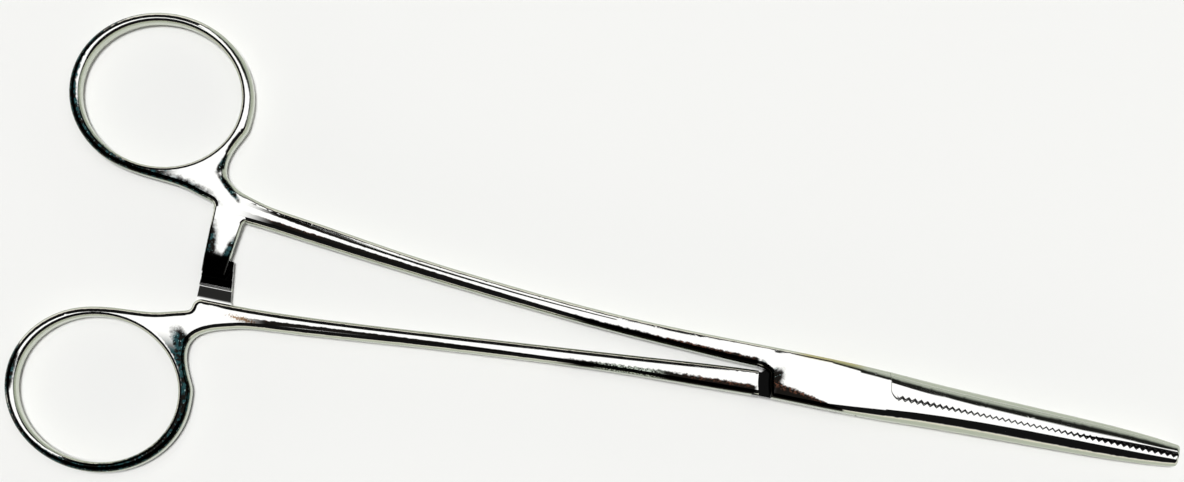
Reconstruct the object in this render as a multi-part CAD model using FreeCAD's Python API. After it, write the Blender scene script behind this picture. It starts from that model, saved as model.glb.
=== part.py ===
"""Straight haemostatic forceps with a passing box lock, in millimetres.

The origin is where the pivot's axis meets the flat underside of the box. +X points to the
jaws' tips, +Z up, and the forceps lie on the box's underside, closed at the first notch.
Two forged halves cross at the box: the box half is slotted, and the tongue half passes
through the slot and turns on a pin that is ground flush with both faces of the box.
"""
import FreeCAD, Part
import math
import os

Vector = FreeCAD.Vector

# The box and its lock
box_height = 5.4
box_width = 7.8
edge_round = 0.85
plate_rear_radius = 9.2
plate_front_radius = 9.6
shoulder_radius = 10.9
shoulder_gap = 0.08
tongue_height = 2.0
slot_clearance = 0.05
web_clearance = 0.12
web_end_x = 5.0
web_end_y = 4.1
rear_mouth_x = 9.9
rear_mouth_y = 0.35
front_mouth_x = 9.9
front_mouth_y = 0.9
mouth_play = 0.2
tongue_lap = 0.7

# The pivot pin
pin_diameter = 3.0
bore_clearance = 0.03

# The jaws
jaw_tip = 55.0
tip_width = 3.3
tip_height = 2.84
tip_flat = 1.2
tip_wall = 0.3
tip_round = 0.5
jaw_arc_low = 7.0
jaw_arc_high = 32.0
seam_start = 11.0
seam_root_gap = 0.26
seam_tip_gap = 0.08
serration_pitch = 0.98
serration_depth = 0.42
bevel_start = 36.0
bevel_width = 0.8
bevel_depth = 0.08
bevel_run_in = 1.1

# The shanks where they leave the box
back_start_x = -6.0
box_belly_y = 0.5
box_belly_gap = 2.0
rear_arc_start = 183.0
tongue_belly_x = -8.0
tongue_belly_y = 0.05

# The finger rings
ring_x = -110.6
ring_y = 23.45
ring_hole_length = 25.3
ring_hole_width = 22.6
ring_stock_side = 1.85
ring_stock_end = 1.55
ring_height = 3.2
ring_inner_round = 0.6
ring_leave = 238.0
neck_ahead = 4.1
neck_inside = 0.55
neck_heading = (-0.96, 0.28)
neck_level = 4.0
heel_behind = 1.4
heel_inside = 4.05
heel_round = 1.4

# The ratchet
ratchet_inset = 0.2
box_bar_width = 4.8
tongue_bar_width = 5.4
ratchet_taper = 0.13
ratchet_flare = 0.6
ratchet_flare_rise = 0.75
ratchet_lap = 1.5
flare_lap = 0.15
ratchet_nose = 0.85
ratchet_gap = 0.06
ratchet_notch = -1.3
notch_play = 0.05
tooth_depth = 0.5
tooth_pitch = 1.5
tooth_count = 3
tooth_undercut = 0.06
ratchet_bevel = 0.6
ratchet_bevel_length = 3.4
ratchet_round = 0.4

# Sizes that follow
mid = box_height / 2
box_side = box_width / 2
beyond = box_width * 2
ring_half_length = ring_hole_length / 2 + ring_stock_side
ring_half_width = ring_hole_width / 2 + ring_stock_end
neck_x = ring_x + ring_half_length + neck_ahead
neck_y = ring_y - ring_half_width - neck_inside
heel_x = ring_x + ring_half_length - heel_behind
heel_y = ring_y - ring_half_width - heel_inside
ratchet_left = heel_x - heel_round + ratchet_inset

# How far a cutting shape runs past what it cuts, and how close counts as touching
spare = 2.0
touching = 0.01

# Each row: how far along a side of the shank, and how far across it has moved by then
box_half_back = [(0.116, -0.01), (0.28, 0.0), (0.51, 0.18), (0.745, 0.5), (0.92, 0.82)]
box_half_belly = [(0.10, 0.04), (0.218, 0.105), (0.45, 0.32), (0.68, 0.6), (0.855, 0.85)]
tongue_half_back = [(0.116, 0.05), (0.28, 0.125), (0.51, 0.335), (0.745, 0.625), (0.92, 0.855)]
tongue_half_belly = [(0.067, 0.04), (0.246, 0.25), (0.469, 0.52), (0.693, 0.79), (0.86, 0.955)]

# Each row: how far from the neck to the ring's right side, along and across
crotch_bend = [(1.02, 0.105), (1.46, 0.225), (1.56, 0.365), (1.17, 0.705)]

# Each row: how far from where the ring is left to the heel's rounding, along and across
foot_bend = [(0.432, 0.446), (0.742, 0.576), (0.922, 0.783)]

# How far from the belly to the box's rear arc, along and across
rear_turn_bend = (0.642, 0.287)

# Each row: how far from the ring to the box, and how far the height has swelled by then
height_swell = [(0.0, 0.0), (0.41, 0.1), (0.76, 0.4), (1.0, 1.0)]

# How far along and across the root of the upper jaw bends
jaw_root_bend = (0.42, 0.73)

# Each row: how far along the jaws, then how far the width, height, top flat and side wall
# have gone from their size at the box to their size at the tip
box_front_taper = [
    (0.0, 0.0, 0.0, 0.0, 0.0),
    (0.08, 0.015, 0.0, 0.16, 0.2),
    (0.17, 0.06, 0.0, 0.39, 0.5),
]
jaw_taper = [
    (0.27, 0.165, 0.07, 0.59, 0.79),
    (0.40, 0.275, 0.18, 0.755, 0.97),
    (0.55, 0.38, 0.34, 0.86, 1.0),
    (0.73, 0.51, 0.56, 0.91, 1.0),
    (0.91, 0.75, 0.84, 0.95, 1.0),
    (1.0, 1.0, 1.0, 1.0, 1.0),
]


def point(x, y, z=0.0):
    return Vector(x, y, z)


def line(start, end):
    """A straight edge between two points of the plan."""
    return Part.LineSegment(point(*start), point(*end)).toShape()


def curve(points, leave, arrive):
    """A smooth edge through points of the plan, with its direction at each end."""
    spline = Part.BSplineCurve()
    spline.interpolate(Points=[point(*each) for each in points],
                       InitialTangent=point(*leave), FinalTangent=point(*arrive))
    return spline.toShape()


def polar(radius, degrees):
    """The plan point at a radius and an angle round the pivot."""
    angle = math.radians(degrees)
    return (radius * math.cos(angle), radius * math.sin(angle))


def arc(radius, start, end):
    """An arc round the pivot between two angles in degrees."""
    ends = [point(*polar(radius, each)) for each in (start, (start + end) / 2, end)]
    return Part.Arc(*ends).toShape()


def prism(edges, low, high):
    """A closed plan outline raised from one height to another."""
    wire = Part.Wire(Part.__sortEdges__(edges))
    solid = Part.Face(wire).extrude(Vector(0, 0, high - low))
    solid.translate(Vector(0, 0, low))
    return solid


def chain(corners):
    """Straight edges from corner to corner."""
    return [line(start, end) for start, end in zip(corners, corners[1:])]


def polygon_prism(corners, low, high):
    """A straight-sided plan outline raised from one height to another."""
    return prism(chain(list(corners) + [corners[0]]), low, high)


def between(start, end, shares):
    """Points part of the way from one plan point to another, each way by its own share."""
    middle = [(start[0] + along * (end[0] - start[0]), start[1] + across * (end[1] - start[1]))
              for along, across in shares]
    return [start] + middle + [end]


def flipped(shape):
    """A shape turned half a turn about the X axis at mid height."""
    turned = shape.copy()
    turned.rotate(Vector(0, 0, mid), Vector(1, 0, 0), 180)
    return turned


def ring_oval(half_length, half_width):
    """An oval round the finger ring's centre, whichever way it is longer."""
    ends = [point(ring_x + half_length, ring_y), point(ring_x, ring_y + half_width)]
    if half_width > half_length:
        ends = [ends[1], point(ring_x - half_length, ring_y)]
    return Part.Ellipse(ends[0], ends[1], point(ring_x, ring_y))


def thickness_slab():
    """The handle's height seen from the side: level at the ring, swelling to the box."""
    start_x = neck_x - neck_level
    end_x = -plate_rear_radius
    ring_half = ring_height / 2
    upper = [(start_x + along * (end_x - start_x), ring_half + up * (mid - ring_half))
             for along, up in height_swell]
    edges = []
    for side in (1, -1):
        spline = Part.BSplineCurve()
        spline.interpolate(Points=[Vector(x, -beyond, mid + side * z) for x, z in upper],
                           InitialTangent=Vector(1, 0, 0), FinalTangent=Vector(1, 0, 0))
        edges.append(spline.toShape())
    corners = [(end_x, mid), (beyond, mid), (beyond, -mid), (end_x, -mid)]
    edges += side_edges(corners)
    corners = [(start_x, -ring_half), (ring_x * 2, -ring_half),
               (ring_x * 2, ring_half), (start_x, ring_half)]
    edges += side_edges(corners)
    face = Part.Face(Part.Wire(Part.__sortEdges__(edges)))
    return face.extrude(Vector(0, ring_y * 2 + beyond * 2, 0))


def side_edges(corners):
    """Straight edges seen from the side, from corner to corner about the mid height."""
    places = [Vector(x, -beyond, mid + z) for x, z in corners]
    return [Part.LineSegment(start, end).toShape() for start, end in zip(places, places[1:])]


def rim(shape):
    """The edges round the upper and lower faces, apart from straight ones across the handle."""
    return [edge for edge in shape.Edges
            if edge.BoundBox.XLength > touching
            and not edge.BoundBox.ZMin < mid < edge.BoundBox.ZMax]


def handle(back, belly, root):
    """Shank and finger ring on the +Y side, with rounded edges; root closes it at the box."""
    outer = ring_oval(ring_half_length, ring_half_width)
    ring_right = (ring_x + ring_half_length, ring_y)
    turned = math.radians(ring_leave)
    ring_left = (ring_x + ring_half_length * math.cos(turned),
                 ring_y + ring_half_width * math.sin(turned))
    begin, leave = [outer.parameter(point(*each)) for each in (ring_right, ring_left)]
    ring = Part.ArcOfEllipse(outer, begin, leave + (2 * math.pi if leave < begin else 0))
    heading = outer.tangent(leave)[0]
    crotch = curve(between(back[-1], ring_right, crotch_bend), neck_heading, (0, 1))
    side_x = heel_x - heel_round
    foot = curve(between(ring_left, (side_x, heel_y + heel_round), foot_bend),
                 (heading.x, heading.y), (0, -1))
    inset = heel_round * (1 - math.sqrt(0.5))
    heel = Part.Arc(point(side_x, heel_y + heel_round), point(side_x + inset, heel_y + inset),
                    point(heel_x, heel_y)).toShape()
    shank = [curve(back, (-1, 0), neck_heading), curve(belly, (-1, 0), (-1, 0))]
    edges = [crotch, ring.toShape(), foot, heel] + shank + root
    blank = prism(edges, -spare, box_height + spare).common(thickness_slab())
    blank = blank.makeFillet(edge_round, rim(blank))
    hole = Part.Face(Part.Wire(ring_oval(ring_hole_length / 2, ring_hole_width / 2).toShape()))
    blank = blank.cut(hole.extrude(Vector(0, 0, box_height)))
    hole_edges = [edge for edge in blank.Edges if lies_on_hole(edge)]
    return blank.makeFillet(ring_inner_round, hole_edges)


def lies_on_hole(edge):
    """Whether an edge runs round the rim of the finger hole."""
    if edge.BoundBox.ZMin < mid < edge.BoundBox.ZMax:
        return False
    place = edge.valueAt((edge.FirstParameter + edge.LastParameter) / 2)
    along = (place.x - ring_x) / (ring_hole_length / 2)
    across = (place.y - ring_y) / (ring_hole_width / 2)
    return abs(math.hypot(along, across) - 1) < touching / 2


def jaw_section(x, side, height, flat, wall):
    """The closed pair's section: flats above and below, upright side walls, rounded between."""
    top = height / 2
    edge_y = flat / 2
    wall_z = wall / 2
    full = side / 2
    edges = []
    for y_sign, z_sign in ((1, 1), (1, -1), (-1, -1), (-1, 1)):
        corner = Part.BezierCurve()
        corner.setPoles([Vector(x, y_sign * edge_y, mid + z_sign * top),
                         Vector(x, y_sign * full, mid + z_sign * top),
                         Vector(x, y_sign * full, mid + z_sign * wall_z)])
        corner.setWeight(2, math.sqrt(0.5))
        edges.append(corner.toShape())
    places = [((full, wall_z), (full, -wall_z)), ((edge_y, -top), (-edge_y, -top)),
              ((-full, -wall_z), (-full, wall_z)), ((-edge_y, top), (edge_y, top))]
    for (y0, z0), (y1, z1) in places:
        edges.append(Part.LineSegment(Vector(x, y0, mid + z0), Vector(x, y1, mid + z1)).toShape())
    return Part.Wire(Part.__sortEdges__(edges))


def half_height(x):
    """Half the jaws' height near the tip, where it falls in a nearly straight line."""
    (before_along, _, before, _, _), (after_along, _, after, _, _) = jaw_taper[3], jaw_taper[4]
    share = before + (after - before) * (x / jaw_tip - before_along) / (after_along - before_along)
    return (box_height + share * (tip_height - box_height)) / 2


def jaw_billet():
    """The outer form that both closed jaws and the front of the box share."""
    at_box = (box_width, box_height, box_width - 2 * edge_round, box_height - 2 * edge_round)
    at_tip = (tip_width, tip_height, tip_flat, tip_wall)
    wires = []
    for row in box_front_taper + jaw_taper:
        sizes = [start + share * (end - start)
                 for start, end, share in zip(at_box, at_tip, row[1:])]
        wires.append(jaw_section(row[0] * jaw_tip, *sizes))
    joint = len(box_front_taper)
    box_front = Part.makeLoft(wires[:joint], True, True, False)
    jaws = Part.makeLoft(wires[joint - 1:], True, False, False)
    nose = [edge for edge in jaws.Edges if edge.BoundBox.XMin > jaw_tip - touching]
    jaws = jaws.makeFillet(tip_round, nose).cut(tip_bevels())
    return jaws.fuse(box_front)


def tip_bevels():
    """Four wedges that open the seam's edges towards the tip, above and below each jaw."""
    rise = bevel_depth / bevel_width
    lowered = bevel_depth / (jaw_tip - bevel_start)
    start_x = bevel_start - bevel_run_in
    end_x = jaw_tip + spare
    wedges = []
    for y_sign in (1, -1):
        for z_sign in (1, -1):
            corners = []
            for x, y in ((start_x, 0), (end_x, 0), (end_x, spare), (start_x, spare)):
                z = half_height(x) - lowered * (x - bevel_start) + rise * y
                corners.append(Vector(x, y_sign * y, mid + z_sign * z))
            face = Part.Face(Part.makePolygon(corners + corners[:1]))
            wedges.append(face.extrude(Vector(0, 0, z_sign * spare)))
    return wedges


def serration(side):
    """The zigzag that faces the other jaw; side is 1 for the upper jaw and -1 for the lower."""
    corners = []
    step = 0
    x = seam_start
    while x < jaw_tip + serration_pitch:
        share = (x - seam_start) / (jaw_tip - seam_start)
        gap = seam_root_gap + share * (seam_tip_gap - seam_root_gap)
        swing = serration_depth / 2 if step % 2 else -serration_depth / 2
        corners.append((x, side * gap / 2 + swing))
        step += 1
        x = seam_start + step * serration_pitch / 2
    return corners


def upper_jaw_space(side):
    """The space of the tongue half's jaw: ahead of the box's front arc and above the seam."""
    radius = plate_front_radius + (shoulder_gap if side > 0 else 0)
    teeth = serration(side)
    start = polar(radius, jaw_arc_low)
    root = curve(between(start, teeth[0], [jaw_root_bend]),
                 (math.sin(math.radians(jaw_arc_low)), -1), (1, -0.05))
    corner = polar(radius, jaw_arc_high)
    end_x = teeth[-1][0]
    rest = chain([(end_x, teeth[-1][1]), (end_x, beyond), (corner[0], beyond), corner])
    edges = [arc(radius, jaw_arc_low, jaw_arc_high), root] + chain(teeth) + rest
    return prism(edges, -spare, box_height + spare)


def sideways(start, end, distance):
    """A line's two ends moved to the right of its run by a distance."""
    run = math.hypot(end[0] - start[0], end[1] - start[1])
    shift = ((end[1] - start[1]) / run * distance, (start[0] - end[0]) / run * distance)
    return [(x + shift[0], y + shift[1]) for x, y in (start, end)]


def web_lines(clearance):
    """Where the slot meets the box's two webs, rear and front, moved in by a clearance."""
    rear = sideways((-rear_mouth_x, rear_mouth_y), (-web_end_x, web_end_y), clearance)
    front = sideways((front_mouth_x, front_mouth_y), (web_end_x, -web_end_y), clearance)
    return rear, front


def crossing(line_ends, y):
    """The point where a line of the plan has a given y."""
    (x0, y0), (x1, y1) = line_ends
    return (x0 + (y - y0) * (x1 - x0) / (y1 - y0), y)


def slot():
    """The slot through the box, open at the rear below and at the front above."""
    rear, front = web_lines(0)
    reach = shoulder_radius + spare
    half = tongue_height / 2 + slot_clearance
    top = crossing(rear, box_side + spare)
    bottom = crossing(front, -box_side - spare)
    corners = [(-reach, rear_mouth_y), rear[0], top, (top[0], beyond), (reach, beyond),
               (reach, front_mouth_y), front[0], bottom, (bottom[0], -beyond), (-reach, -beyond)]
    return polygon_prism(corners, mid - half, mid + half)


def tongue(billet):
    """The thin middle of the tongue half, flush with the box's sides when closed."""
    rear, front = web_lines(web_clearance)
    half = tongue_height / 2
    back_x = -shoulder_radius - tongue_lap
    ahead_x = plate_front_radius + tongue_lap
    upper = -tongue_belly_y - mouth_play
    rear_part = polygon_prism([(back_x, upper), crossing(rear, upper), crossing(rear, box_side),
                               (0, box_side), (0, -box_side), (back_x, -box_side)],
                              mid - half, mid + half)
    low = crossing(front, front_mouth_y + mouth_play)
    front_part = polygon_prism([(0, beyond), (ahead_x, beyond), (ahead_x, low[1]), low,
                                crossing(front, -box_side), (0, -box_side)],
                               mid - half, mid + half)
    return rear_part.fuse(front_part.common(billet))


def ratchet_profile(end_y, first_crest):
    """The ratchet bar seen along X: bevelled end, flat outer face, saw teeth underneath."""
    top = mid + ring_height / 2
    crest = mid + ratchet_gap / 2
    root = crest + tooth_depth
    inside_y = heel_y + ratchet_lap
    bevel_y = end_y + ratchet_bevel_length
    middle_y = end_y + ratchet_bevel_length / 2
    bevel_radius = (ratchet_bevel_length ** 2 + ratchet_bevel ** 2) / (2 * ratchet_bevel)
    middle_drop = bevel_radius - math.sqrt(bevel_radius ** 2 - (ratchet_bevel_length / 2) ** 2)
    under_end = crest + tooth_depth * (first_crest - end_y) / tooth_pitch
    corners = [(end_y, top - ratchet_bevel), (end_y, under_end)]
    for number in range(tooth_count):
        tooth_y = first_crest + number * tooth_pitch
        corners.append((tooth_y, crest))
        corners.append((tooth_y + tooth_undercut, root))
    corners += [(inside_y, root), (inside_y, top), (bevel_y, top)]
    places = [Vector(0, y, z) for y, z in corners]
    edges = [Part.LineSegment(start, end).toShape() for start, end in zip(places, places[1:])]
    edges.append(Part.Arc(places[-1], Vector(0, middle_y, top - middle_drop),
                          places[0]).toShape())
    return Part.Face(Part.Wire(Part.__sortEdges__(edges)))


def ratchet_bar(end_y, first_crest, width):
    """A toothed ratchet bar on the +Y half, narrowing to its end, with a flared inner root."""
    inside_y = heel_y + ratchet_lap
    right_x = ratchet_left + width
    end_right = right_x - ratchet_taper * (heel_y - end_y)
    flare_y = heel_y - ratchet_flare_rise
    flare_x = right_x - ratchet_taper * ratchet_flare_rise
    foot = (right_x + ratchet_flare, heel_y + flare_lap)
    edges = chain([foot, (foot[0], inside_y), (ratchet_left, inside_y), (ratchet_left, end_y),
                   (end_right, end_y), (flare_x, flare_y)])
    edges.append(curve([(flare_x, flare_y), foot], (ratchet_taper, 1), (1, 0.25)))
    plan = prism(edges, -spare, box_height + spare)
    profile = ratchet_profile(end_y, first_crest)
    profile.translate(Vector(ratchet_left - spare, 0, 0))
    bar = profile.extrude(Vector(right_x - ratchet_left + 2 * spare, 0, 0)).common(plan)
    top = mid + ring_height / 2
    sides = [edge for edge in bar.Edges
             if edge.BoundBox.ZMin > top - ratchet_bevel - touching
             and edge.BoundBox.YLength > ratchet_flare_rise + flare_lap + touching]
    return bar.makeFillet(ratchet_round, sides)


def pivot_pin():
    """The pin, as long as the box is high."""
    return Part.makeCylinder(pin_diameter / 2, box_height)


def box_half(billet):
    """Upper handle, slotted box and lower jaw."""
    belly_start = (-plate_rear_radius - box_belly_gap, box_belly_y)
    arc_end = 180 + math.degrees(math.asin(box_side / plate_rear_radius))
    belly = between(belly_start, (heel_x, heel_y), box_half_belly)
    back_start = (back_start_x, box_side)
    back = between(back_start, (neck_x, neck_y), box_half_back)
    arc_heading = math.radians(rear_arc_start + 90)
    turn = curve(between(belly_start, polar(plate_rear_radius, rear_arc_start), [rear_turn_bend]),
                 (1, 0), (math.cos(arc_heading), math.sin(arc_heading)))
    corner = polar(plate_rear_radius, arc_end)
    root = [turn, arc(plate_rear_radius, rear_arc_start, arc_end)]
    root += chain([corner, (0, -box_side), (0, box_side), back_start])
    body = handle(back, belly, root)
    crest = ratchet_notch - notch_play
    bar = ratchet_bar(crest - ratchet_nose, crest, box_bar_width)
    front = billet.cut(upper_jaw_space(-1))
    body = body.fuse([front, bar])
    body = body.cut([slot(), Part.makeCylinder(pin_diameter / 2, box_height)])
    return body.removeSplitter()


def tongue_half(billet):
    """Lower handle, tongue and upper jaw; drawn on the +Y side and turned over."""
    belly_start = (tongue_belly_x, tongue_belly_y)
    belly = between(belly_start, (heel_x, heel_y), tongue_half_belly)
    back_start = (back_start_x, box_side)
    back = between(back_start, (neck_x, neck_y), tongue_half_back)
    root = chain([belly_start, (0, tongue_belly_y), (0, box_side), back_start])
    blank = handle(back, belly, root)
    blank = blank.cut(Part.makeCylinder(shoulder_radius, box_height))
    bar = ratchet_bar(-ratchet_notch - tooth_pitch, -ratchet_notch, tongue_bar_width)
    body = flipped(blank.fuse(bar))
    jaw = billet.common(upper_jaw_space(1))
    body = body.fuse([tongue(billet), jaw])
    bore = Part.makeCylinder(pin_diameter / 2 + bore_clearance, box_height)
    return body.cut(bore).removeSplitter()


def main():
    billet = jaw_billet()
    nodes = {
        "box_half": box_half(billet),
        "tongue_half": tongue_half(billet),
        "pivot_pin": pivot_pin(),
    }
    os.makedirs("parts", exist_ok=True)
    for name, shape in nodes.items():
        solid = shape.Solids[0] if len(shape.Solids) == 1 else shape
        solid.exportStep("parts/" + name + ".step")
        print(name, shape.isValid(), len(shape.Solids), round(shape.Volume, 2), shape.BoundBox)


main()
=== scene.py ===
"""Looks of the straight forceps: polished steel on a pale studio floor, in metres."""
import math
from collections import namedtuple
from types import SimpleNamespace

import bpy
from mathutils import Matrix, Vector

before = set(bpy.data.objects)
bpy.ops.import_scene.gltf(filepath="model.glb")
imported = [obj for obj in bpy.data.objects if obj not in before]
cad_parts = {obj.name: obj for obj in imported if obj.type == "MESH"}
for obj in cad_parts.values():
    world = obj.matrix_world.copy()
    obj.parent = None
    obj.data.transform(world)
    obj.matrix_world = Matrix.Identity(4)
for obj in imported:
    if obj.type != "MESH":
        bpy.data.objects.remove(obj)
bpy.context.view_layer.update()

# The camera: nearly straight down from above the handles
camera_place = (-0.0264, -0.0289, 0.4202)
camera_target = (-0.0365, -0.0035, 0.0027)
camera_roll = math.radians(11.6)
camera_lens = 82.1
camera_rise = 0.10
sensor_width = 36.0
camera_near = 0.01
camera_far = 20.0

# The lamp overhead. Its edges are slopes away from straight up, across to +Y and along to +X,
# each given as where it is dark and where it is full
overhead_glow = 1.32
lamp_tint = (1.0, 1.0, 1.0, 1.0)
lamp_near_edge = (-0.11, -0.03)
lamp_left_edge = (-0.37, -0.27)
lamp_right_edge = (0.8, 0.5)

# The lamp's far edge lies further off over the box than over the handles and the jaws
far_edge_handles = 0.34
far_edge_box = 1.3
far_edge_jaws = 0.32
far_edge_soft = 0.12
handles_to_box = (-0.12, -0.04)
box_to_jaws = (0.02, 0.12)
lowest_height = 0.02

# The room: dark walls, one sage side, and a pale band near the horizon. Heights are the upward
# share of a direction, sage_x and sage_y its shares to +X and +Y where that side begins, and
# lamp_to_side is the lamp's share over which the sage tint takes over
room_dark = 0.008
room_side = 0.55
side_heights = (0.74, 0.25)
side_tint = (0.92, 1.0, 0.84, 1.0)
sage_x = (0.03, 0.13)
sage_y = (-0.1, 0.1)
room_horizon = 1.2
horizon_heights = (0.36, 0.12)
horizon_tint = (1.0, 0.94, 0.80, 1.0)
lamp_to_side = (0.5, 0.0)

# The floor and the soft light on it
floor_colour = (0.93, 0.93, 0.92, 1.0)
floor_roughness = 0.9
floor_reach = 3.0
sun_strength = 2.3
sun_softness = math.radians(8)

# Colours of the steel, its stains, and the shade and reflections painted onto it, as shares of
# reflected light
polished = (0.79, 0.79, 0.77, 1.0)
# The side walls: partly their duller finish, partly painted shade and a painted sage reflection
# of the shaded floor
dull_wall_and_shade = (0.46, 0.50, 0.40, 1.0)
# Painted shade in the gap behind the box and in the seam between the jaws
recess_shade = (0.004, 0.004, 0.004, 1.0)
tooth_shade = (0.016, 0.016, 0.015, 1.0)
# Painted black shade for the dark ovals, crescents and edge lines
black_shade = (0.008, 0.007, 0.006, 1.0)
# Teal speckles painted as reflection within the dark shade
deep_teal = (0.018, 0.055, 0.06, 1.0)
pale_teal = (0.38, 0.55, 0.54, 1.0)
brown_stain = (0.13, 0.052, 0.03, 1.0)
tan_stain = (0.30, 0.17, 0.08, 1.0)
# Painted olive reflection on the box's +Y-facing rounding
olive_reflection = (0.45, 0.38, 0.07, 1.0)
pale_speckle = (0.42, 0.47, 0.40, 1.0)

# How far a face must tip from level to count as a wall, and from a wall to count as a top
wall_tips = (0.82, 0.62)
top_tips = (0.3, 0.6)

# Random patterns: cells in a metre and the number of finer layers
fine_pattern = (4000.0, 4.0)
grain_pattern = (1500.0, 5.0)
broad_pattern = (300.0, 3.0)
pattern_middle = 0.5

# Polish: the roughness of flats over the broad pattern's levels, what walls and the ratchet's
# crest add, and the grain's relief
flat_roughness = (0.05, 0.10)
roughness_levels = (0.35, 0.75)
wall_roughness = 0.12
crest_roughness = 0.15
relief_depth = 0.00002
relief_strength = 0.08

# The seam between the jaws, painted as a dark line of shade: its teeth, the line's half width at
# the root and along the jaws, what the tip adds, and the X over which each change happens
seam_start = 0.011
serration_pitch = 0.00098
serration_depth = 0.00042
seam_root = 0.00026
seam_line = 0.00013
seam_tip = 0.0001
seam_root_run = (0.012, 0.028)
seam_tip_run = (0.034, 0.042)
seam_fade = 0.0005
seam_blur = 0.00003

# A black line along an edge, painted as the dark reflection of its rounding. It starts at X start
# and runs towards -X for length. Its edge has offset, slope and bend in Y, its width grows by
# growth for each metre, it lies above or below the edge, and brown and pale are the X between
# which it shows brown stain and pale speckles
EdgeShade = namedtuple("EdgeShade", "start offset slope bend width growth length above brown pale",
                  defaults=(True, None, None))
upper_edge_shade = [
    EdgeShade(start=-0.0112, offset=0.0005, slope=0.0187, bend=0.81, width=0.0012, growth=-0.010,
         length=0.030, brown=(-0.027, -0.012)),
    EdgeShade(start=-0.0380, offset=0.00241, slope=0.0705, bend=0.332, width=0.00005, growth=0.012,
         length=0.054, brown=(-0.090, -0.082)),
    EdgeShade(start=-0.0340, offset=0.0032, slope=0.0442, bend=1.017, width=0.0001, growth=0.005,
         length=0.0575, above=False),
    EdgeShade(start=0.0030, offset=-0.0039, slope=0.0, bend=0.0, width=0.0004, growth=0.20,
         length=0.0135, brown=(-0.010, 0.002)),
]
lower_edge_shade = [
    EdgeShade(start=-0.0108, offset=-0.0041, slope=-0.022, bend=-0.75, width=0.0016, growth=-0.014,
         length=0.030, brown=(-0.021, -0.012), pale=(-0.035, -0.026)),
    EdgeShade(start=-0.0380, offset=-0.00422, slope=-0.0774, bend=-0.183, width=0.00005, growth=0.012,
         length=0.052, brown=(-0.091, -0.087)),
]
edge_shade_border = (1.12, 0.9)
edge_shade_fray = 0.6
edge_shade_under = 0.0001
edge_shade_start_blur = 0.0003
edge_shade_end_blur = 0.003
speckle_blur = 0.002
brown_edge = (0.6, 0.95)
brown_levels = (0.50, 0.60)
pale_levels = (0.46, 0.54)

# Ovals painted dark as shade: the centre in X and Y, half the length and width, and the turn in
# degrees
Oval = namedtuple("Oval", "x y half_length half_width turn")
upper_dark_ovals = [
    Oval(-0.1046, 0.0096, 0.0060, 0.0018, -9),
    Oval(-0.0984, 0.0010, 0.0048, 0.0014, 91),
    Oval(-0.0972, -0.0014, 0.0026, 0.0018, 90),
    Oval(-0.0951, 0.0010, 0.0032, 0.0008, 76),
    Oval(-0.0988, 0.0147, 0.0018, 0.0006, 70),
    Oval(-0.0971, 0.0112, 0.0030, 0.0005, -41),
    Oval(-0.0085, -0.0011, 0.0014, 0.0022, -30),
    Oval(-0.0097, 0.0005, 0.0015, 0.0005, -38),
    Oval(-0.0087, -0.0022, 0.0022, 0.0005, 90),
]
lower_dark_ovals = [
    Oval(-0.0990, -0.0143, 0.0032, 0.0016, -55),
    Oval(-0.1245, -0.0225, 0.0065, 0.0009, 90),
]
dark_oval_fray = 0.7
dark_oval_edge = (1.55, 1.0)
teal_levels = (0.48, 0.58)
teal_run = (-0.086, -0.092)
pale_teal_levels = (0.64, 0.72)

# The tan spot on the lower handle
tan_spot = Oval(-0.0905, -0.0084, 0.0042, 0.0006, -5)
tan_fray = 2.0
tan_edge = (1.7, 1.2)

# Dark crescents painted on the rings as the shade of their sloping tops: the oval that they lie
# outside, and the X and Y that they span
upper_crescent_oval = Oval(-0.1100, 0.0241, 0.0140, 0.0124, 0)
upper_crescent_spans = [(-0.130, -0.1065), (0.0, 0.040), None]
lower_crescent_oval = Oval(-0.1113, -0.0230, 0.0137, 0.0121, 0)
lower_crescent_spans = [(-0.130, -0.090), (-0.040, -0.0140), None]
crescent_fray = 0.05
crescent_edge = (1.015, 1.035)
crescent_blur = 0.0015

# Places on the halves, as spans in X, Y and Z with the blur of their borders: the painted olive
# reflection, the hollow behind the box and the mouth between the jaws (painted shade), and the
# ratchet bars with their bright crest
olive_spans = [(-0.005, 0.0045), (0.0032, 0.0045), None]
olive_blur = 0.0016
olive_facing = (0.1, 0.35)
olive_tips = (0.1, 0.3)
hollow_spans = [(-0.0113, -0.0082), (-0.006, 0.0012), (-0.001, 0.0051)]
mouth_spans = [(0.0093, 0.056), (-0.0006, 0.0009), None]
mouth_tips = (0.5, 0.3)
recess_blur = 0.0001
teeth_spans = [(-0.099, -0.090), (-0.0062, 0.0005), (-0.001, 0.0046)]
teeth_blur = 0.0002
crest_spans = [None, (-0.00445, -0.00395), None]
crest_blur = 0.00005


def join(tree, source, target):
    """A link from an output to an input."""
    tree.links.new(source, target)


def feed(tree, value, socket):
    """Join a socket to an input, or set the input to a plain value."""
    if isinstance(value, bpy.types.NodeSocket):
        join(tree, value, socket)
    else:
        socket.default_value = value


def maths(tree, operation, *values):
    """A Math node over sockets or numbers."""
    made = tree.nodes.new("ShaderNodeMath")
    made.operation = operation
    for socket, value in zip(made.inputs, values):
        feed(tree, value, socket)
    return made.outputs[0]


def times(tree, first, *others):
    """The product of the given sockets."""
    product = first
    for other in others:
        product = maths(tree, "MULTIPLY", product, other)
    return product


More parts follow.
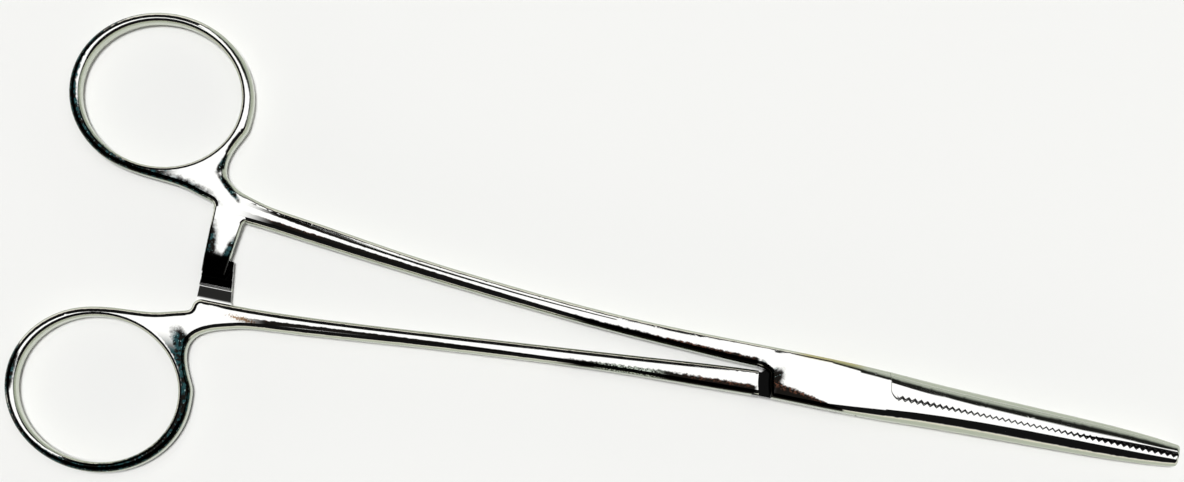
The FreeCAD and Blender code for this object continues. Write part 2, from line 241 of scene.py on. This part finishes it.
def ramp(tree, value, low, high, start=0.0, end=1.0):
    """A smooth step from start to end, as a value goes from low to high."""
    made = tree.nodes.new("ShaderNodeMapRange")
    made.interpolation_type = "SMOOTHSTEP"
    feed(tree, value, made.inputs["Value"])
    made.inputs["From Min"].default_value = low
    made.inputs["From Max"].default_value = high
    made.inputs["To Min"].default_value = start
    made.inputs["To Max"].default_value = end
    return made.outputs["Result"]


def blend_colour(tree, share, first, second):
    """A colour mixed from two, by a share of the second."""
    made = tree.nodes.new("ShaderNodeMix")
    made.data_type = "RGBA"
    inputs = {socket.identifier: socket for socket in made.inputs}
    outputs = {socket.identifier: socket for socket in made.outputs}
    feed(tree, share, inputs["Factor_Float"])
    feed(tree, first, inputs["A_Color"])
    feed(tree, second, inputs["B_Color"])
    return outputs["Result_Color"]


def overhead_lamp(tree, direction, height):
    """Where the lamp stands: 1 in its middle, 0 outside, with soft edges."""
    across = maths(tree, "DIVIDE", direction.outputs["Y"], height)
    along = maths(tree, "DIVIDE", direction.outputs["X"], height)
    far_edge = maths(tree, "MINIMUM",
                     ramp(tree, along, *box_to_jaws, far_edge_box, far_edge_jaws),
                     ramp(tree, along, *handles_to_box, far_edge_handles, far_edge_box))
    past_far_edge = maths(tree, "SUBTRACT", across, far_edge)
    return times(tree, ramp(tree, across, *lamp_near_edge),
                 ramp(tree, past_far_edge, far_edge_soft, 0.0),
                 ramp(tree, along, *lamp_left_edge),
                 ramp(tree, along, *lamp_right_edge))


def make_world():
    """The studio's light by direction: lamp overhead, dark walls, pale near the horizon."""
    world = bpy.data.worlds.new("studio")
    bpy.context.scene.world = world
    world.use_nodes = True
    tree = world.node_tree
    tree.nodes.clear()
    out = tree.nodes.new("ShaderNodeOutputWorld")
    glow = tree.nodes.new("ShaderNodeBackground")
    place = tree.nodes.new("ShaderNodeTexCoord")
    direction = tree.nodes.new("ShaderNodeSeparateXYZ")
    join(tree, place.outputs["Generated"], direction.inputs[0])
    rise = direction.outputs["Z"]
    lamp = overhead_lamp(tree, direction, maths(tree, "MAXIMUM", rise, lowest_height))

    sage = times(tree, ramp(tree, direction.outputs["X"], *sage_x),
                 ramp(tree, direction.outputs["Y"], *sage_y))
    wall = ramp(tree, rise, *side_heights, room_dark, room_side)
    wall = maths(tree, "MULTIPLY_ADD", wall, sage, room_dark)
    horizon = ramp(tree, rise, *horizon_heights, 0.0, room_horizon)
    horizon = times(tree, horizon, maths(tree, "SUBTRACT", 1.0, sage))
    level = maths(tree, "MAXIMUM", maths(tree, "MULTIPLY", lamp, overhead_glow),
                  maths(tree, "MAXIMUM", wall, horizon))

    tint = blend_colour(tree, ramp(tree, rise, *horizon_heights), lamp_tint, horizon_tint)
    beside = times(tree, sage, ramp(tree, lamp, *lamp_to_side))
    join(tree, blend_colour(tree, beside, tint, side_tint), glow.inputs["Color"])
    join(tree, level, glow.inputs["Strength"])
    join(tree, glow.outputs[0], out.inputs[0])


def make_floor():
    """A plain pale floor under the forceps."""
    corners = [(-floor_reach, -floor_reach, 0), (floor_reach, -floor_reach, 0),
               (floor_reach, floor_reach, 0), (-floor_reach, floor_reach, 0)]
    mesh = bpy.data.meshes.new("floor")
    mesh.from_pydata(corners, [], [(0, 1, 2, 3)])
    floor = bpy.data.objects.new("floor", mesh)
    bpy.context.collection.objects.link(floor)
    paper = bpy.data.materials.new("floor_paper")
    paper.use_nodes = True
    shader = paper.node_tree.nodes["Principled BSDF"]
    shader.inputs["Base Color"].default_value = floor_colour
    shader.inputs["Roughness"].default_value = floor_roughness
    shader.inputs["Specular IOR Level"].default_value = 0.0
    mesh.materials.append(paper)


def make_sun():
    """A broad soft light that keeps the floor pale and gives the soft shadow."""
    light = bpy.data.lights.new("soft_light", "SUN")
    light.energy = sun_strength
    light.angle = sun_softness
    lamp = bpy.data.objects.new("soft_light", light)
    lamp.visible_glossy = False
    bpy.context.collection.objects.link(lamp)


def make_camera():
    """The photograph's view: straight down, rolled, with the frame raised a little."""
    data = bpy.data.cameras.new("camera")
    data.lens = camera_lens
    data.sensor_width = sensor_width
    data.shift_y = camera_rise
    data.clip_start = camera_near
    data.clip_end = camera_far
    camera = bpy.data.objects.new("camera", data)
    back = (Vector(camera_place) - Vector(camera_target)).normalized()
    level = Vector((math.cos(camera_roll), math.sin(camera_roll), 0))
    sideways = (level - back * level.dot(back)).normalized()
    turn = Matrix((sideways, back.cross(sideways), back)).transposed()
    camera.matrix_world = Matrix.Translation(camera_place) @ turn.to_4x4()
    bpy.context.collection.objects.link(camera)
    bpy.context.scene.camera = camera


def zone(tree, at, spans, blur):
    """1 inside a box of the object's own place and 0 outside; a span of None has no borders."""
    sides = []
    for axis, span in zip("XYZ", spans):
        if span:
            low, high = span
            sides.append(ramp(tree, at.axes[axis], low - blur, low + blur))
            sides.append(ramp(tree, at.axes[axis], high + blur, high - blur))
    return times(tree, *sides)


def noise(tree, place, scale, detail):
    """A random pattern over the object's own place."""
    made = tree.nodes.new("ShaderNodeTexNoise")
    made.inputs["Scale"].default_value = scale
    made.inputs["Detail"].default_value = detail
    join(tree, place, made.inputs["Vector"])
    return made.outputs["Fac"]


def surface_facts(tree):
    """What a material knows of a point: its place, how it faces, and the random patterns."""
    spot = tree.nodes.new("ShaderNodeTexCoord")
    place = spot.outputs["Object"]
    axes = tree.nodes.new("ShaderNodeSeparateXYZ")
    join(tree, place, axes.inputs[0])
    facing = tree.nodes.new("ShaderNodeSeparateXYZ")
    join(tree, spot.outputs["Normal"], facing.inputs[0])
    upright = maths(tree, "ABSOLUTE", facing.outputs["Z"])
    return SimpleNamespace(axes=axes.outputs, facing=facing.outputs, upright=upright,
                           wall=ramp(tree, upright, *wall_tips),
                           top=ramp(tree, upright, *top_tips),
                           fine=noise(tree, place, *fine_pattern),
                           grain=noise(tree, place, *grain_pattern),
                           broad=noise(tree, place, *broad_pattern))


def oval_distance(tree, at, oval):
    """How far a point lies from a turned oval's centre, as a share of its half lengths."""
    x = maths(tree, "SUBTRACT", at.axes["X"], oval.x)
    y = maths(tree, "SUBTRACT", at.axes["Y"], oval.y)
    cosine = math.cos(math.radians(oval.turn))
    sine = math.sin(math.radians(oval.turn))
    run = maths(tree, "MULTIPLY_ADD", x, cosine / oval.half_length,
                maths(tree, "MULTIPLY", y, sine / oval.half_length))
    rise = maths(tree, "MULTIPLY_ADD", y, cosine / oval.half_width,
                 maths(tree, "MULTIPLY", x, -sine / oval.half_width))
    squares = maths(tree, "MULTIPLY_ADD", run, run, maths(tree, "MULTIPLY", rise, rise))
    return maths(tree, "SQRT", squares)


def add_olive_reflection(tree, at, colour):
    """A painted olive reflection on the box's upper rounding, where it faces +Y."""
    olive_share = times(tree, zone(tree, at, olive_spans, olive_blur),
                 ramp(tree, at.facing["Y"], *olive_facing),
                 ramp(tree, at.upright, *olive_tips))
    return blend_colour(tree, olive_share, colour, olive_reflection)


def add_dark_shade(tree, at, colour, dark_ovals, crescent_oval, crescent_spans):
    """Painted shade: black ovals with painted teal reflection speckles, and the dark crescent on
    the ring.
    """
    away = oval_distance(tree, at, crescent_oval)
    ring = ramp(tree, maths(tree, "MULTIPLY_ADD", at.grain, crescent_fray, away), *crescent_edge)
    dark_shade = times(tree, ring, zone(tree, at, crescent_spans, crescent_blur))
    for dark_oval in dark_ovals:
        away = oval_distance(tree, at, dark_oval)
        patch = ramp(tree, maths(tree, "MULTIPLY_ADD", at.grain, dark_oval_fray, away), *dark_oval_edge)
        dark_shade = maths(tree, "MAXIMUM", dark_shade, patch)
    # The teal and pale teal speckles are a painted reflection
    blue = times(tree, ramp(tree, at.grain, *teal_levels), ramp(tree, at.axes["X"], *teal_run))
    teal = blend_colour(tree, blue, black_shade, deep_teal)
    teal = blend_colour(tree, ramp(tree, at.fine, *pale_teal_levels), teal, pale_teal)
    return blend_colour(tree, times(tree, dark_shade, at.top), colour, teal)


def add_tan_spot(tree, at, colour):
    """The tan spot on the lower handle."""
    away = oval_distance(tree, at, tan_spot)
    share = ramp(tree, maths(tree, "MULTIPLY_ADD", at.fine, tan_fray, away), *tan_edge)
    return blend_colour(tree, times(tree, share, at.top), colour, tan_stain)


def add_edge_shade(tree, at, colour, edge_shade):
    """A black line painted along an edge as its dark reflection, with brown stain or pale
    speckles where it has them.
    """
    reach = maths(tree, "SUBTRACT", edge_shade.start, at.axes["X"])
    lean = maths(tree, "MULTIPLY_ADD", reach, edge_shade.bend, edge_shade.slope)
    edge = maths(tree, "MULTIPLY_ADD", reach, lean, edge_shade.offset)
    inside = maths(tree, "SUBTRACT", at.axes["Y"], edge)
    if not edge_shade.above:
        inside = maths(tree, "MULTIPLY", inside, -1.0)
    wide = maths(tree, "MULTIPLY_ADD", reach, edge_shade.growth, edge_shade.width)
    fray = maths(tree, "MULTIPLY", maths(tree, "SUBTRACT", at.grain, pattern_middle), edge_shade_fray)
    share = maths(tree, "ADD", maths(tree, "DIVIDE", inside, wide), fray)
    strip = times(tree, ramp(tree, share, *edge_shade_border), ramp(tree, inside, -edge_shade_under, 0.0),
                  ramp(tree, reach, -edge_shade_start_blur, edge_shade_start_blur),
                  ramp(tree, reach, edge_shade.length + edge_shade_end_blur, edge_shade.length - edge_shade_end_blur),
                  at.top)
    # The strip is painted black, standing in for the edge's dark reflection
    colour = blend_colour(tree, strip, colour, black_shade)
    if edge_shade.brown:
        brown = times(tree, strip, ramp(tree, share, *brown_edge),
                      zone(tree, at, [edge_shade.brown, None, None], speckle_blur),
                      ramp(tree, at.fine, *brown_levels))
        colour = blend_colour(tree, brown, colour, brown_stain)
    if edge_shade.pale:
        pale = times(tree, strip, zone(tree, at, [edge_shade.pale, None, None], speckle_blur),
                     ramp(tree, at.fine, *pale_levels))
        colour = blend_colour(tree, pale, colour, pale_speckle)
    return colour


def seam_shade(tree, at):
    """The painted shade of the dark zigzag where the jaws' teeth meet, bolder at its root and at
    the tip.
    """
    fold = maths(tree, "PINGPONG", maths(tree, "SUBTRACT", at.axes["X"], seam_start),
                 serration_pitch / 2)
    line = maths(tree, "MULTIPLY_ADD", fold, 2 * serration_depth / serration_pitch,
                 -serration_depth / 2)
    away = maths(tree, "ABSOLUTE", maths(tree, "SUBTRACT", at.axes["Y"], line))
    bold = maths(tree, "ADD", ramp(tree, at.axes["X"], *seam_root_run, seam_root, seam_line),
                 ramp(tree, at.axes["X"], *seam_tip_run, 0.0, seam_tip))
    near = ramp(tree, maths(tree, "SUBTRACT", away, bold), seam_blur, -seam_blur)
    return times(tree, near, ramp(tree, at.axes["X"], seam_start - seam_fade, seam_start))


def add_recess_shade(tree, at, colour):
    """Painted shade: black in the gap behind the box and in the seam between the jaws."""
    hollow = zone(tree, at, hollow_spans, recess_blur)
    mouth = times(tree, zone(tree, at, mouth_spans, recess_blur),
                  ramp(tree, at.upright, *mouth_tips))
    dark = maths(tree, "MAXIMUM", maths(tree, "MAXIMUM", hollow, mouth), seam_shade(tree, at))
    return blend_colour(tree, dark, colour, recess_shade)


def add_ratchet(tree, at, colour):
    """The dark ratchet bars, and the bright crest between them, whose share is returned too."""
    teeth = zone(tree, at, teeth_spans, teeth_blur)
    crest = times(tree, teeth, zone(tree, at, crest_spans, crest_blur))
    shaded = maths(tree, "SUBTRACT", teeth, crest)
    return blend_colour(tree, shaded, colour, tooth_shade), crest


def add_polish(tree, at, shader, crest):
    """Roughness that wanders a little, and the faint relief of the grain."""
    rough = ramp(tree, at.broad, *roughness_levels, *flat_roughness)
    rough = maths(tree, "MULTIPLY_ADD", at.wall, wall_roughness, rough)
    rough = maths(tree, "MULTIPLY_ADD", crest, crest_roughness, rough)
    join(tree, rough, shader.inputs["Roughness"])
    relief = tree.nodes.new("ShaderNodeBump")
    relief.inputs["Distance"].default_value = relief_depth
    relief.inputs["Strength"].default_value = relief_strength
    join(tree, at.grain, relief.inputs["Height"])
    join(tree, relief.outputs[0], shader.inputs["Normal"])


def steel(name, dark_shade=None, edge_shade_rows=(), spotted=False):
    """Mirror-polished steel: painted shade and reflection on its sage side walls, recesses,
    ovals, crescents and edge lines, and its own brown and tan stains.
    """
    made = bpy.data.materials.new(name)
    made.use_nodes = True
    tree = made.node_tree
    shader = tree.nodes["Principled BSDF"]
    shader.inputs["Metallic"].default_value = 1.0
    at = surface_facts(tree)
    # Walls take the darker sage colour: painted shade and reflection over their duller finish
    colour = blend_colour(tree, at.wall, polished, dull_wall_and_shade)
    colour = add_olive_reflection(tree, at, colour)
    if dark_shade:
        colour = add_dark_shade(tree, at, colour, *dark_shade)
    if spotted:
        colour = add_tan_spot(tree, at, colour)
    for edge_shade in edge_shade_rows:
        colour = add_edge_shade(tree, at, colour, edge_shade)
    colour = add_recess_shade(tree, at, colour)
    colour, crest = add_ratchet(tree, at, colour)
    join(tree, colour, shader.inputs["Base Color"])
    add_polish(tree, at, shader, crest)
    return made


make_world()
make_floor()
make_sun()
make_camera()
# The painted shade of each half: its dark ovals and its ring's crescent
upper_dark_shade = (upper_dark_ovals, upper_crescent_oval, upper_crescent_spans)
lower_dark_shade = (lower_dark_ovals, lower_crescent_oval, lower_crescent_spans)
finishes = {
    "box_half": steel("box_half_steel", upper_dark_shade, upper_edge_shade),
    "tongue_half": steel("tongue_half_steel", lower_dark_shade, lower_edge_shade, spotted=True),
    "pivot_pin": steel("pin_steel"),
}
for name, finish in finishes.items():
    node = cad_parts[name]
    node.data.materials.clear()
    node.data.materials.append(finish)
bpy.context.scene.view_settings.view_transform = "Standard"
